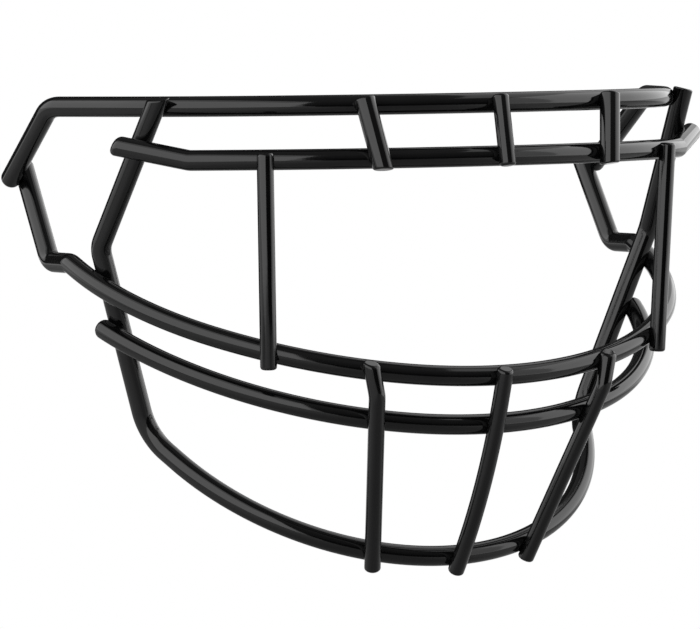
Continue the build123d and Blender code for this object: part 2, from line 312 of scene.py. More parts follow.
def arcs_ending_at(apex, point, radius, length, run):
    """The given front arc, and the side arc that leads into a straight run that ends at the point."""
    gap = point - apex
    turned = length / radius
    across = gap.x - radius * sin(turned)
    deep = hypot(gap.y, gap.z) - radius * (1 - cos(turned))
    ahead = across * cos(turned) + deep * sin(turned)
    aside = deep * cos(turned) - across * sin(turned)
    corner = (ahead**2 + aside**2 - run**2) / (2 * (ahead + run))
    turn = atan2(aside, ahead - corner)
    side_radius = corner / tan(turn / 2)
    return [(radius, length), (side_radius, side_radius * turn)]


def rounded(corners, radii):
    """Points along the straight runs between corners, with an arc of the given radius at each inner one."""
    points = [corners[0]]
    for before, corner, after, radius in zip(corners, corners[1:], corners[2:], radii):
        way_in = (corner - before).normalized()
        way_out = (after - corner).normalized()
        turn = atan2(way_in.cross(way_out).length, way_in.dot(way_out))
        aside = (way_out - way_in * way_in.dot(way_out)).normalized()
        start = corner - way_in * (radius * tan(turn / 2))
        steps = max(1, ceil(turn / CORNER_STEP))
        for step in range(steps + 1):
            heading = turn * step / steps
            points.append(start + way_in * (radius * sin(heading)) + aside * (radius * (1 - cos(heading))))
    return points + [corners[-1]]


def arc_through(first, middle, last):
    """Points on the arc through three points, and its directions at both ends."""
    one, two = middle - first, last - first
    axis = one.cross(two)
    centre = first + (axis.cross(one) * two.length_squared + two.cross(axis) * one.length_squared) / (
        2 * axis.length_squared
    )
    out = first - centre
    ahead = axis.normalized().cross(out)
    reach = last - centre
    turn = atan2(reach.dot(ahead), reach.dot(out))
    steps = ceil(turn / BOW_STEP)
    turns = [turn * step / steps for step in range(steps + 1)]
    points = [centre + out * cos(angle) + ahead * sin(angle) for angle in turns]
    return points, ahead.normalized(), (ahead * cos(turn) - out * sin(turn)).normalized()


def mirrored(points):
    """The same points or directions on the other side of the face."""
    return [Vector((-point.x, point.y, point.z)) for point in points]


def cut_along(bar_way, way):
    """Outward normal of a wire's end that is cut parallel with the bar it is welded to."""
    return (way - bar_way * way.dot(bar_way)).normalized()


def both_sides(right_half):
    """A wire from its left end to its right end, from the points of its right half."""
    return mirrored(right_half)[:0:-1] + right_half


class Centrelines:
    """Centrelines of all the wires, worked out from the settings as the CAD model's are."""

    def __init__(self, mask):
        self.stock = mask.stock
        self.outward_from = Vector((0, mask.brow.radius, 0))
        self.thick_gap = self.sunk(mask.stock.thick)
        self.lines = {}
        self.cuts = {}
        self.lay_brow(mask.brow)
        self.lay_mouth(mask.mouth)
        self.lay_chin(mask.chin)
        self.lay_lower_brow(mask.brow)
        self.lay_lip(mask.mouth)
        self.lay_struts(mask.brow)
        self.lay_eye_uprights(mask.mouth)
        self.lay_mouth_uprights(mask.mouth)

    def sunk(self, diameter):
        """Distance between the centrelines of a thick wire and one welded to it."""
        return (self.stock.thick + diameter) / 2 * (1 - self.stock.set_down)

    def out_of_face(self, way, along, point):
        """Unit normal to a bar and to the wire along it, on the side away from the brow's centre."""
        normal = way.cross(along).normalized()
        from_centre = Vector((point.x, point.y, 0)) - self.outward_from
        return normal if normal.dot(from_centre) > 0 else -normal

    def seats_between(self, spots, depths):
        """Seats of a straight wire on two bars, given each bar's (point, way) and the signed gap to it."""
        along = (spots[1][0] - spots[0][0]).normalized()
        for _ in range(SETTLING_ROUNDS):
            seats = [
                point + self.out_of_face(way, along, point) * depth
                for (point, way), depth in zip(spots, depths)
            ]
            along = (seats[1] - seats[0]).normalized()
        return seats[0], seats[1], along

    def seat_from(self, start, spot, depth):
        """Seat on one bar of a straight wire that leaves a given point, and the wire's direction."""
        _, seat, along = self.seats_between([(start, spot[1]), spot], [0, depth])
        return seat, along

    def straight_wire(self, spots, diameter, top_overhang, foot_overhang):
        """Centreline of a wire across the front of two thick bars."""
        gap = self.sunk(diameter)
        top, foot, along = self.seats_between(spots, [gap, gap])
        return [top - along * top_overhang, foot + along * foot_overhang]

    def lay_brow(self, sizes):
        self.brow = Bow(
            Vector((0, 0, 0)),
            0,
            [(sizes.radius, sizes.length), (sizes.temple_radius, sizes.temple_length)],
        )
        self.leg_bend = self.brow.end + self.brow.end_way * sizes.temple_run
        leg = Vector(sizes.leg)
        self.leg_way = leg.normalized()
        tail = rounded([self.brow.end, self.leg_bend, self.leg_bend + leg], [sizes.leg_bend])
        self.lines["top_bar"] = both_sides(self.brow.points() + tail[1:])

    def lay_mouth(self, sizes):
        self.mouth = Bow(
            Vector((0, -sizes.forward, -sizes.drop)),
            sizes.tilt,
            [(sizes.front_radius, sizes.front_length), (sizes.cheek_radius, sizes.cheek_length)],
        )
        step = self.mouth.end + self.mouth.end_way * sizes.cheek_run
        bend = step + Vector((0, sizes.step_back, 0))
        leg_spot = self.leg_bend + self.leg_way * sizes.seat_on_leg
        seat, way = self.seat_from(bend, (leg_spot, self.leg_way), -self.thick_gap)
        tail = rounded(
            [self.mouth.end, step, bend, seat + way * sizes.cheek_overhang],
            [sizes.step_bend, sizes.cheek_bend],
        )
        self.lines["upper_mouth_bar"] = both_sides(self.mouth.points() + tail[1:])

    def lay_chin(self, sizes):
        mouth_spot = self.mouth.at(sizes.mouth_share)
        jaw = mouth_spot[0] + Vector((-sizes.jaw_inside, sizes.jaw_behind, -sizes.jaw_below))
        self.hoop_mouth_seat, self.jaw_way = self.seat_from(jaw, mouth_spot, -self.thick_gap)
        bend = self.hoop_mouth_seat + self.jaw_way * sizes.bend_above
        top_spot = self.brow.at(sizes.top_share)
        self.hoop_seat, self.hoop_way = self.seat_from(bend, top_spot, self.thick_gap)
        apex = Vector((0, sizes.back, -sizes.drop))
        arcs = arcs_ending_at(apex, jaw, sizes.radius, sizes.length, sizes.jaw_run)
        self.chin = Bow(apex, slope_to(apex, jaw), arcs)
        tail = rounded(
            [self.chin.end, jaw, bend, self.hoop_seat + self.hoop_way * sizes.top_overhang],
            [sizes.jaw_bend, sizes.side_bend],
        )
        self.lines["chin_hoop"] = both_sides(self.chin.points() + tail[1:])
        cut = cut_along(top_spot[1], self.hoop_way)
        self.cuts["chin_hoop"] = (*mirrored([cut]), cut)

    def lay_lower_brow(self, sizes):
        spot = self.hoop_seat - self.hoop_way * sizes.flare_seat
        corner_turn = asin((spot.x - sizes.flare_inside) / hypot(sizes.lower_radius, sizes.flare_run))
        turn = corner_turn - atan2(sizes.flare_run, sizes.lower_radius)
        self.lower_brow = Bow(
            Vector((0, -sizes.lower_forward, -sizes.lower_drop)),
            0,
            [(sizes.lower_radius, sizes.lower_radius * turn)],
        )
        corner = self.lower_brow.end + self.lower_brow.end_way * sizes.flare_run
        seat, way = self.seat_from(corner, (spot, self.hoop_way), self.thick_gap)
        tail = rounded([self.lower_brow.end, corner, seat + way * sizes.flare_overhang], [sizes.flare_bend])
        self.lines["lower_brow_bar"] = both_sides(self.lower_brow.points() + tail[1:])
        cut = cut_along(self.hoop_way, way)
        self.cuts["lower_brow_bar"] = (*mirrored([cut]), cut)

    def lay_lip(self, sizes):
        apex = Vector((0, sizes.lip_back, -sizes.lip_drop))
        spot = self.hoop_mouth_seat - self.jaw_way * sizes.lip_seat
        way = self.mouth.end_way
        for _ in range(SETTLING_ROUNDS):
            seat = spot + self.out_of_face(way, self.jaw_way, spot) * self.thick_gap
            arcs = arcs_ending_at(apex, seat, sizes.lip_radius, sizes.lip_length, 0)
            way = Bow(apex, slope_to(apex, seat), arcs).end_way
        side_radius, side_length = arcs[1]
        self.lip = Bow(apex, slope_to(apex, seat), [arcs[0], (side_radius, side_length + sizes.lip_overhang)])
        self.lines["lower_mouth_bar"] = both_sides(self.lip.points())

    def lay_struts(self, sizes):
        foot_spot = self.lower_brow.at(sizes.strut_foot)
        strut = self.straight_wire(
            [self.brow.at(sizes.strut_top), foot_spot],
            self.stock.thick,
            sizes.strut_top_overhang,
            sizes.strut_foot_overhang,
        )
        self.lines["brow_strut_right"] = strut
        self.lines["brow_strut_left"] = mirrored(strut)
        cut = cut_along(foot_spot[1], (strut[1] - strut[0]).normalized())
        self.cuts["brow_strut_right"] = (Vector(), cut)
        self.cuts["brow_strut_left"] = (Vector(), *mirrored([cut]))
        self.lines["brow_strut_center"] = self.straight_wire(
            [self.brow.at(0), self.lower_brow.at(0)],
            self.stock.thin,
            sizes.centre_top_overhang,
            sizes.centre_foot_overhang,
        )

    def lay_eye_uprights(self, sizes):
        upright = self.straight_wire(
            [self.lower_brow.at(sizes.eye_top), self.mouth.at(sizes.eye_foot)],
            self.stock.thin,
            sizes.eye_top_overhang,
            sizes.eye_foot_overhang,
        )
        self.lines["eye_vertical_right"] = upright
        self.lines["eye_vertical_left"] = mirrored(upright)

    def mouth_seats(self, top, middle, foot):
        """Seats of a mouth upright on the upper mouth bar, the lower mouth bar and the chin hoop."""
        gap = self.sunk(self.stock.thin)
        middle_spot = self.lip.at(middle)
        top_seat, _, _ = self.seats_between([self.mouth.at(top), middle_spot], [gap, gap])
        middle_seat, foot_seat, _ = self.seats_between([middle_spot, self.chin.at(foot)], [gap, gap])
        return top_seat, middle_seat, foot_seat

    def lay_mouth_uprights(self, sizes):
        top, middle, foot = self.mouth_seats(sizes.upright_top, sizes.upright_middle, sizes.upright_foot)
        foot_way = (foot - middle).normalized()
        kink = middle - foot_way * sizes.kink_above
        top_way = (kink - top).normalized()
        upright = rounded(
            [top - top_way * sizes.upright_top_overhang, kink, foot + foot_way * sizes.upright_foot_overhang],
            [sizes.kink_radius],
        )
        self.lines["mouth_vertical_right"] = upright
        self.lines["mouth_vertical_left"] = mirrored(upright)
        up = Vector((1, 0, 0)).cross(self.mouth.inward)
        for place in ("left", "center", "right"):
            self.cuts[f"mouth_vertical_{place}"] = (up, Vector())
        arc, top_way, foot_way = arc_through(*self.mouth_seats(0, 0, 0))
        start = arc[0] - top_way * sizes.centre_top_overhang
        end = arc[-1] + foot_way * sizes.centre_foot_overhang
        self.lines["mouth_vertical_center"] = [start, *arc, end]


def rows_at_ends(points, edge):
    """The same line with close rows over the first and last stretch, where a cut end is rounded."""
    stations = [0]
    for before, after in zip(points, points[1:]):
        stations.append(stations[-1] + (after - before).length)
    whole = stations[-1]
    depths = [edge * (1 - cos(pi / 2 * row / END_ROWS)) for row in range(END_ROWS + 1)]
    places = depths + [whole - depth for depth in depths]
    clear = edge * ROWS_START
    places += [station for station in stations if clear < station < whole - clear]
    line = []
    for place in sorted(places):
        stretch = min(bisect_left(stations, place, 1), len(stations) - 1)
        part = (place - stations[stretch - 1]) / (stations[stretch] - stations[stretch - 1])
        line.append(points[stretch - 1].lerp(points[stretch], min(1, part)))
    return line


# ---------------------------------------------------------------- wire


def socket(tree, name, kind, default=None):
    """Adds a named input to a node tree."""
    made = tree.interface.new_socket(name, in_out="INPUT", socket_type=kind)
    if default is not None:
        made.default_value = default
    return made


def linked(tree, kind, *sources, **settings):
    """A new node whose inputs are fed in order: by a socket, by a plain value, or left alone by None."""
    node = tree.nodes.new(kind)
    for name, value in settings.items():
        setattr(node, name, value)
    for target, source in zip(node.inputs, sources):
        if isinstance(source, bpy.types.NodeSocket):
            tree.links.new(source, target)
        elif source is not None:
            target.default_value = source
    return node


def maths(tree, operation, *values):
    """The result of a sum on sockets and plain numbers."""
    return linked(tree, "ShaderNodeMath", *values, operation=operation).outputs[0]


def vectors(tree, operation, *values, result="Vector"):
    """The result of a sum on vectors."""
    return linked(tree, "ShaderNodeVectorMath", *values, operation=operation).outputs[result]


def scaled(tree, vector, factor):
    """A vector times a number, both from sockets."""
    node = tree.nodes.new("ShaderNodeVectorMath")
    node.operation = "SCALE"
    tree.links.new(vector, node.inputs[0])
    tree.links.new(factor, node.inputs["Scale"])
    return node.outputs["Vector"]


def wire_tree():
    """The node tree that turns a centreline into a round wire with rounded rims at its ends."""
    name = "Coated Wire"
    if name in bpy.data.node_groups:
        return bpy.data.node_groups[name]
    tree = bpy.data.node_groups.new(name, "GeometryNodeTree")
    socket(tree, "Centreline", "NodeSocketGeometry")
    socket(tree, "Diameter", "NodeSocketFloat", THICK)
    socket(tree, "End Edge", "NodeSocketFloat", THICK_EDGE)
    socket(tree, "Sides", "NodeSocketInt", SIDES)
    socket(tree, "Start Cut", "NodeSocketVector")
    socket(tree, "End Cut", "NodeSocketVector")
    socket(tree, "Material", "NodeSocketMaterial")
    tree.interface.new_socket("Wire", in_out="OUTPUT", socket_type="NodeSocketGeometry")
    inputs = tree.nodes.new("NodeGroupInput").outputs
    centreline, diameter, edge, sides, start_cut, end_cut, material = inputs[:7]

    # The rim of a cut end is a quarter circle: full radius less the edge, plus how far it has risen
    ahead = tree.nodes.new("GeometryNodeSplineParameter").outputs["Length"]
    whole = tree.nodes.new("GeometryNodeSplineLength").outputs["Length"]
    nearest = maths(tree, "MINIMUM", ahead, maths(tree, "SUBTRACT", whole, ahead))
    back = maths(tree, "MAXIMUM", maths(tree, "SUBTRACT", edge, nearest), 0.0)
    square = maths(tree, "SUBTRACT", maths(tree, "MULTIPLY", edge, edge), maths(tree, "MULTIPLY", back, back))
    rise = maths(tree, "SQRT", maths(tree, "MAXIMUM", square, 0.0))
    core = maths(tree, "SUBTRACT", maths(tree, "MULTIPLY", diameter, 0.5), edge)
    radius = maths(tree, "ADD", core, rise)

    # Each row remembers its middle, the wire's way and the cut it belongs to, if it is in an end's rim
    in_rim = maths(tree, "LESS_THAN", nearest, maths(tree, "MULTIPLY", edge, RIM_REACH))
    at_start = maths(tree, "LESS_THAN", ahead, maths(tree, "MULTIPLY", whole, 0.5))
    at_end = maths(tree, "SUBTRACT", 1.0, at_start)
    chosen = vectors(tree, "ADD", scaled(tree, start_cut, at_start), scaled(tree, end_cut, at_end))
    curve = linked(tree, "GeometryNodeMeshToCurve", centreline).outputs["Curve"]
    keep = tree.nodes.new("GeometryNodeCaptureAttribute")
    for name, source in (
        ("Middle", tree.nodes.new("GeometryNodeInputPosition").outputs[0]),
        ("Way", tree.nodes.new("GeometryNodeInputTangent").outputs[0]),
        ("Cut", scaled(tree, chosen, in_rim)),
    ):
        keep.capture_items.new("VECTOR", name)
        tree.links.new(source, keep.inputs[name])
    tree.links.new(curve, keep.inputs["Geometry"])
    curve = keep.outputs["Geometry"]
    middle, way, cut = (keep.outputs[name] for name in ("Middle", "Way", "Cut"))
    ring = tree.nodes.new("GeometryNodeCurvePrimitiveCircle")
    tree.links.new(sides, ring.inputs["Resolution"])
    ring.inputs["Radius"].default_value = 1.0
    tube = tree.nodes.new("GeometryNodeCurveToMesh")
    tree.links.new(curve, tube.inputs["Curve"])
    tree.links.new(ring.outputs["Curve"], tube.inputs["Profile Curve"])
    tree.links.new(radius, tube.inputs["Scale"])
    tube.inputs["Fill Caps"].default_value = True

    # A slanted cut pushes each rim point along the wire until its row lies in the cut's plane
    out = vectors(tree, "SUBTRACT", tree.nodes.new("GeometryNodeInputPosition").outputs[0], middle)
    across, along = (vectors(tree, "DOT_PRODUCT", line, cut, result="Value") for line in (out, way))
    lean = maths(tree, "DIVIDE", across, along)
    shift = scaled(tree, way, maths(tree, "MULTIPLY", lean, -1.0))
    slanted = linked(tree, "GeometryNodeSetPosition", tube.outputs["Mesh"], None, None, shift)
    smooth = linked(tree, "GeometryNodeSetShadeSmooth", slanted.outputs["Geometry"], None, True)
    solid = linked(tree, "GeometryNodeRealizeInstances", smooth.outputs[0])
    coated = linked(tree, "GeometryNodeSetMaterial", solid.outputs[0], None, material)
    linked(tree, "NodeGroupOutput", coated.outputs[0])
    return tree


def input_id(tree, name):
    """The key under which a modifier keeps a named input."""
    return next(item.identifier for item in tree.interface.items_tree if item.name == name)


def face_outwards(mesh):
    """Turns the faces of a closed mesh outwards."""
    shell = bmesh.new()
    shell.from_mesh(mesh)
    if shell.calc_volume(signed=True) < 0:
        bmesh.ops.reverse_faces(shell, faces=shell.faces)
        shell.to_mesh(mesh)
    shell.free()


def linked_object(context, name, data):
    """A new object in the scene."""
    obj = bpy.data.objects.new(name, data)
    context.scene.collection.objects.link(obj)
    return obj


def settle(context, piece):
    """Makes the shape that a piece's modifiers give it into its own mesh."""
    evaluated = piece.evaluated_get(context.evaluated_depsgraph_get())
    solid = bpy.data.meshes.new_from_object(evaluated)
    if not solid.polygons:
        raise RuntimeError(f"{piece.name} came out empty")
    piece.modifiers.clear()
    piece.data = solid
    solid.name = piece.name
    face_outwards(solid)


def make_wires(context, *nodes):
    """Builds the named CAD wires as coated ones that stand for them."""
    mask = context.scene.facemask
    stock = mask.stock
    course = Centrelines(mask)
    for node in nodes:
        diameter, edge = stock.thick, stock.thick_edge
        if node.startswith(THIN_WIRES):
            diameter, edge = stock.thin, stock.thin_edge
        if node in ROUND_ENDED:
            edge = stock.round_edge
        line = rows_at_ends(course.lines[node], edge)
        start_cut, end_cut = course.cuts.get(node, (Vector(), Vector()))
        mesh = bpy.data.meshes.new(f"{node}_line")
        mesh.from_pydata(line, [(i, i + 1) for i in range(len(line) - 1)], [])
        piece = linked_object(context, f"coated_{node}", mesh)
        tree = wire_tree()
        modifier = piece.modifiers.new("Wire", "NODES")
        modifier.node_group = tree
        for name, value in (
            ("Diameter", diameter),
            ("End Edge", edge),
            ("Sides", stock.sides),
            ("Start Cut", start_cut),
            ("End Cut", end_cut),
            ("Material", coating(mask.finishes)),
        ):
            modifier[input_id(tree, name)] = value
        settle(context, piece)
        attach(piece, BODY)
        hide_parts(node)


# ---------------------------------------------------------------- finishes

# Noise scales in waves per metre: the coating's drift in shade and in gloss and its peel, and the weld
# metal's heat tint, grain and ripple
SHADE_DRIFT, GLOSS_DRIFT, PEEL = 70, 160, 420
HEAT_TINT, FUSED_GRAIN, RIPPLE = 240, 900, 1500

# Range of a noise's usual values
NOISE_LOW, NOISE_HIGH = 0.3, 0.7

# Coating: how far its shade and its roughness drift, as shares of their settings
SHADE_SHARES = 0.8, 1.2
GLOSS_SHARES = 0.85, 1.15
COATING_IOR = 1.5

# Weld metal: shares of red, green and blue that a straw heat tint leaves, roughness, and ripple height
STRAW = 0.85, 0.68, 0.45
FUSED_ROUGHNESS = 0.28, 0.5
RIPPLE_HEIGHT = 0.00002


def emptied(material):
    """The node tree of a new material or world, without its first nodes."""
    material.use_nodes = True
    material.node_tree.nodes.clear()
    return material.node_tree


def new_material(name):
    """A material with an empty tree, its Principled shader and Object coordinates."""
    material = bpy.data.materials.new(name)
    tree = emptied(material)
    shader = tree.nodes.new("ShaderNodeBsdfPrincipled")
    output = tree.nodes.new("ShaderNodeOutputMaterial")
    tree.links.new(shader.outputs["BSDF"], output.inputs["Surface"])
    place = tree.nodes.new("ShaderNodeTexCoord").outputs["Object"]
    return material, tree, shader, place


def noise(tree, place, scale, detail):
    """A soft noise in space, about 0.5 on average."""
    node = tree.nodes.new("ShaderNodeTexNoise")
    tree.links.new(place, node.inputs["Vector"])
    node.inputs["Scale"].default_value = scale
    node.inputs["Detail"].default_value = detail
    return node.outputs["Fac"]


def ranged(tree, value, low, high):
    """The usual values of a noise, spread over a range."""
    return linked(tree, "ShaderNodeMapRange", value, NOISE_LOW, NOISE_HIGH, low, high).outputs["Result"]


def shades(tree, value, dark, light):
    """A colour from dark at 0 to light at 1."""
    node = tree.nodes.new("ShaderNodeMix")
    node.data_type = "RGBA"
    tree.links.new(value, node.inputs["Factor"])
    node.inputs["A"].default_value = (*dark, 1)
    node.inputs["B"].default_value = (*light, 1)
    return node.outputs["Result"]


def bump(tree, shader, height, distance):
    """Lets a height from 0 to 1 stand for a relief of the given distance."""
    node = tree.nodes.new("ShaderNodeBump")
    tree.links.new(height, node.inputs["Height"])
    node.inputs["Distance"].default_value = distance
    node.inputs["Strength"].default_value = 1.0
    tree.links.new(node.outputs["Normal"], shader.inputs["Normal"])


def coating(finishes):
    """Gloss black coating: a slow drift in shade and gloss, and a faint peel that ripples reflections."""
    name = "gloss black coating"
    if name in bpy.data.materials:
        return bpy.data.materials[name]
    material, tree, shader, place = new_material(name)
    drift = ranged(tree, noise(tree, place, SHADE_DRIFT, detail=3), 0, 1)
    dark, light = ([level * part for level in finishes.coating] for part in SHADE_SHARES)
    tree.links.new(shades(tree, drift, dark, light), shader.inputs["Base Color"])
    smooth, rough = (finishes.coating_gloss * part for part in GLOSS_SHARES)
    gloss = ranged(tree, noise(tree, place, GLOSS_DRIFT, detail=3), smooth, rough)
    tree.links.new(gloss, shader.inputs["Roughness"])
    shader.inputs["IOR"].default_value = COATING_IOR
    bump(tree, shader, noise(tree, place, PEEL, detail=1), finishes.peel)
    return material


def weld_metal(finishes):
    """Bare weld metal: fused steel with a fine ripple and a straw-coloured heat tint in places."""
    name = "fused weld steel"
    if name in bpy.data.materials:
        return bpy.data.materials[name]
    material, tree, shader, place = new_material(name)
    plain = list(finishes.weld)
    tinted = [level * part for level, part in zip(plain, STRAW)]
    tint = ranged(tree, noise(tree, place, HEAT_TINT, detail=4), 0, 1)
    tree.links.new(shades(tree, tint, plain, tinted), shader.inputs["Base Color"])
    rough = ranged(tree, noise(tree, place, FUSED_GRAIN, detail=4), *FUSED_ROUGHNESS)
    tree.links.new(rough, shader.inputs["Roughness"])
    shader.inputs["Metallic"].default_value = 1.0
    bump(tree, shader, noise(tree, place, RIPPLE, detail=3), RIPPLE_HEIGHT)
    return material


# ---------------------------------------------------------------- studio

WHITE = (1, 1, 1, 1)

# The photograph's frame and lens, in pixels, and the sensor that they are set on
FRAME_WIDTH = 700
FOCAL_LENGTH = 5622.64
SENSOR_WIDTH = 36.0

# The photograph's viewpoint: the camera's turns, the point it looks at, its distance from there, and half
# a pixel as seen at the facemask, by which the frame's middle is off
YAW, PITCH, ROLL = radians(30.24), radians(3.07), radians(0.66)
VIEWED_POINT = Vector((-0.05368, 0, -0.06615))
VIEWING_DISTANCE = 1.7762
HALF_PIXEL = 0.000158
CLIPPING = 0.05, 50

# Flat lights, and glowing sheets that only mirrors see as painted reflections, round the facemask, placed by
# what the wires mirror in the photograph
Board = namedtuple("Board", "centre facing upright width height")
LEFT_SOFTBOX = Board((-1.356, 0.332, 1.041), (0.962, 0.184, -0.202), (0.785, -0.15, 1), 4.127, 2.521)
RIGHT_SOFTBOX = Board((1.9, -0.419, 1.03), (-0.949, 0.164, 0.27), (-0.503, -0.15, 1), 3.851, 2.752)
FRONT_GLOW = Board((0.574, -2.3, 0.926), (-0.13, 1, 0), (0, 0, 1), 3.75, 3.848)
LOW_FRONT_GLOW = Board((0.18, -1.55, -0.19), (0, 1, 0), (0, 0, 1), 1.65, 0.52)
CEILING_GLOW = Board((-0.337, -0.398, 2.35), (0, 0, -1), (0, 1, 0), 2.978, 5.132)
BACK_GLOW = Board((0.307, 2.6, 1.4), (0, -1, 0), (0, 0, 1), 3.734, 3.479)

# How far a glowing wing that only mirrors see, a painted reflection, widens the left softbox at the lower
# corner of its near end
MIRROR_WING_WIDTH = 0.6365

# The high front sheet, a painted reflection, is black at its foot and glows with this many times its set
# brightness at its top
FRONT_GLOW_TOP = 2.5

# Glow of the low front sheet, a painted reflection, where white is 1
LOW_GLOW = 0.01

# The camera sees the floor turn white between two distances from its middle, where it is partly white
# already. A mirror sees it turn white between two shares of the floor's radius.
SEEN_FADE = 0.2, 1.1
SEEN_WHITE = 0.5
MIRRORED_FADE = 0.6, 0.98

# Distances to both sides between which the floor's painted shade along its middle turns to the painted light
# of its sides
PAINTED_SHADE_FADE = 0.1, 0.6
FLOOR_CORNERS = 128


def aimed(board, side):
    """Place of a board whose local Z looks the way it faces, or the other way for a side of -1."""
    forward = Vector(board.facing).normalized() * side
    right = Vector(board.upright).cross(forward).normalized()
    up = forward.cross(right)
    turn = Matrix((right, up, forward)).transposed().to_4x4()
    return Matrix.Translation(Vector(board.centre)) @ turn


def mirror_glow(context, name, place, outline, low, high):
    """A flat glowing sheet that only mirrors show: a painted reflection that lights nothing and casts no
    shadow, its glow running evenly from its lower edge up.
    """
    mesh = bpy.data.meshes.new(name)
    mesh.from_pydata([(x, y, 0) for x, y in outline], [], [range(len(outline))])
    obj = linked_object(context, name, mesh)
    obj.matrix_world = place
    obj.visible_camera = False
    obj.visible_diffuse = False
    obj.visible_shadow = False
    material = bpy.data.materials.new(name)
    tree = emptied(material)
    spot = tree.nodes.new("ShaderNodeTexCoord").outputs["Object"]
    up = linked(tree, "ShaderNodeSeparateXYZ", spot).outputs["Y"]
    heights = [y for _, y in outline]
    level = linked(tree, "ShaderNodeMapRange", up, min(heights), max(heights), low, high).outputs["Result"]
    sheet_glow = linked(tree, "ShaderNodeEmission", level, 1.0)
    linked(tree, "ShaderNodeOutputMaterial", sheet_glow.outputs[0])
    mesh.materials.append(material)


def whole_mirror_glow(context, name, board, low, high):
    """A glowing sheet for mirrors, a painted reflection, that takes up a whole board."""
    across, up = board.width / 2, board.height / 2
    outline = [(-across, -up), (across, -up), (across, up), (-across, up)]
    mirror_glow(context, name, aimed(board, 1), outline, low, high)


def softbox(context, name, board, brightness):
    """A large flat light whose surface shines at the given brightness, where white is 1."""
    light = bpy.data.lights.new(name, "AREA")
    light.shape = "RECTANGLE"
    light.size = board.width
    light.size_y = board.height
    light.energy = brightness * pi * board.width * board.height
    linked_object(context, name, light).matrix_world = aimed(board, -1)


def add_softboxes(context, studio):
    """A softbox on each side, and a glowing wing that only mirrors see: a painted reflection that widens the
    left one downwards at its near end and lights nothing.
    """
    softbox(context, "left_softbox", LEFT_SOFTBOX, studio.left_light)
    softbox(context, "right_softbox", RIGHT_SOFTBOX, studio.right_light)
    near, up = LEFT_SOFTBOX.width / 2, LEFT_SOFTBOX.height / 2
    # The wing glows as white plus the left softbox's brightness but lights nothing: a painted reflection of
    # the softbox
    mirror_wing = [(near, up), (near, -up), (near + MIRROR_WING_WIDTH, -up)]
    mirror_glow(context, "left_wing", aimed(LEFT_SOFTBOX, -1), mirror_wing, 1 + studio.left_light, 1 + studio.left_light)


def add_mirror_glows(context, studio):
    """Glowing sheets that only mirrors see, in front, overhead and behind: painted reflections that keep the
    wires dark between the softboxes.
    """
    whole_mirror_glow(context, "front_card", FRONT_GLOW, 0, studio.front_card * FRONT_GLOW_TOP)
    whole_mirror_glow(context, "low_front_card", LOW_FRONT_GLOW, LOW_GLOW, LOW_GLOW)
    whole_mirror_glow(context, "ceiling_card", CEILING_GLOW, studio.ceiling_card, studio.ceiling_card)
    whole_mirror_glow(context, "back_card", BACK_GLOW, studio.back_card, studio.back_card)


def add_camera(context):
    """The photograph's viewpoint: from the front left and a little above."""
    forward = Vector((sin(YAW) * cos(PITCH), cos(YAW) * cos(PITCH), -sin(PITCH)))
    level = Vector((cos(YAW), -sin(YAW), 0))
    down = forward.cross(level)
    across = level * cos(ROLL) + down * sin(ROLL)
    below = down * cos(ROLL) - level * sin(ROLL)
    place = VIEWED_POINT - forward * VIEWING_DISTANCE - (across + below) * HALF_PIXEL
    data = bpy.data.cameras.new("camera")
    data.sensor_width = SENSOR_WIDTH
    data.sensor_fit = "HORIZONTAL"
    data.lens = FOCAL_LENGTH * SENSOR_WIDTH / FRAME_WIDTH
    data.clip_start, data.clip_end = CLIPPING
    obj = linked_object(context, "camera", data)
    turn = Matrix((across, -below, -forward)).transposed().to_4x4()
    obj.matrix_world = Matrix.Translation(place) @ turn
    context.scene.camera = obj


def faded(tree, value, start, end, first=0.0):
    """A soft rise from the first value to 1 between two distances."""
    fade = linked(tree, "ShaderNodeMapRange", value, start, end, first, 1.0)
    fade.interpolation_type = "SMOOTHSTEP"
    return fade.outputs["Result"]


def seen_and_mirrored(tree):
    """Two marks: 1 for a ray from the camera, and 1 for a ray from a mirror or glass."""
    path = tree.nodes.new("ShaderNodeLightPath").outputs
    return path["Is Camera Ray"], maths(tree, "MAXIMUM", path["Is Glossy Ray"], path["Is Transmission Ray"])


def set_world(context, studio):
    """A white surround for the camera and for reflections, and a plainer light for the rest."""
    world = bpy.data.worlds.new("white surround")
    tree = emptied(world)
    plain = linked(tree, "ShaderNodeBackground", WHITE, studio.surround)
    white = linked(tree, "ShaderNodeBackground", WHITE, 1.0)
    shown = maths(tree, "MAXIMUM", *seen_and_mirrored(tree))
    mix = linked(tree, "ShaderNodeMixShader", shown, plain.outputs[0], white.outputs[0])
    linked(tree, "ShaderNodeOutputWorld", mix.outputs[0])
    context.scene.world = world


